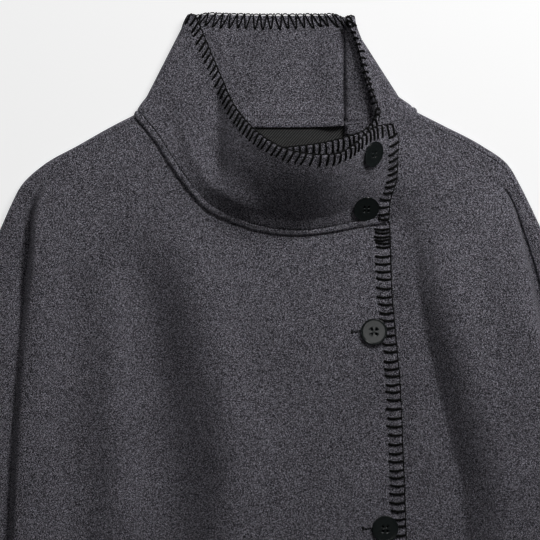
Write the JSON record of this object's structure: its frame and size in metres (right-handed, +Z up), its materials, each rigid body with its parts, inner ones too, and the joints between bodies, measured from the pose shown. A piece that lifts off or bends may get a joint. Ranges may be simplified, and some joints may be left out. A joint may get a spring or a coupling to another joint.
{
  "type": "wool cape coat",
  "caption": "Grey wool cape coat laid flat, face up, with a tall overlapping funnel collar, an off-centre buttoned front and blanket-stitched edges.",
  "frame": {"origin": "on the surface that the coat lies on, at the middle of its outline", "axes": "+X to the viewer's right as the coat is shown, +Y from hem to collar, +Z up out of the front"},
  "size_m": [0.96, 0.8434, 0.0822],
  "materials": {
    "melange_wool": "dark grey melange melton, felted and matt",
    "twill_facing": "dark cotton twill, matt",
    "button_plastic": "black, satin, with a raised rim",
    "black_thread": "thick black wool yarn of the edge stitches, and thin black sewing thread"
  },
  "bodies": {
    "root": {"back": "melange_wool", "front_lapped": "melange_wool", "front_under": "melange_wool", "collar": "melange_wool", "neck_facing": "twill_facing", "button_1": "button_plastic", "button_2": "button_plastic", "button_3": "button_plastic", "button_4": "button_plastic", "button_5": "button_plastic"}
  },
  "joints": []
}
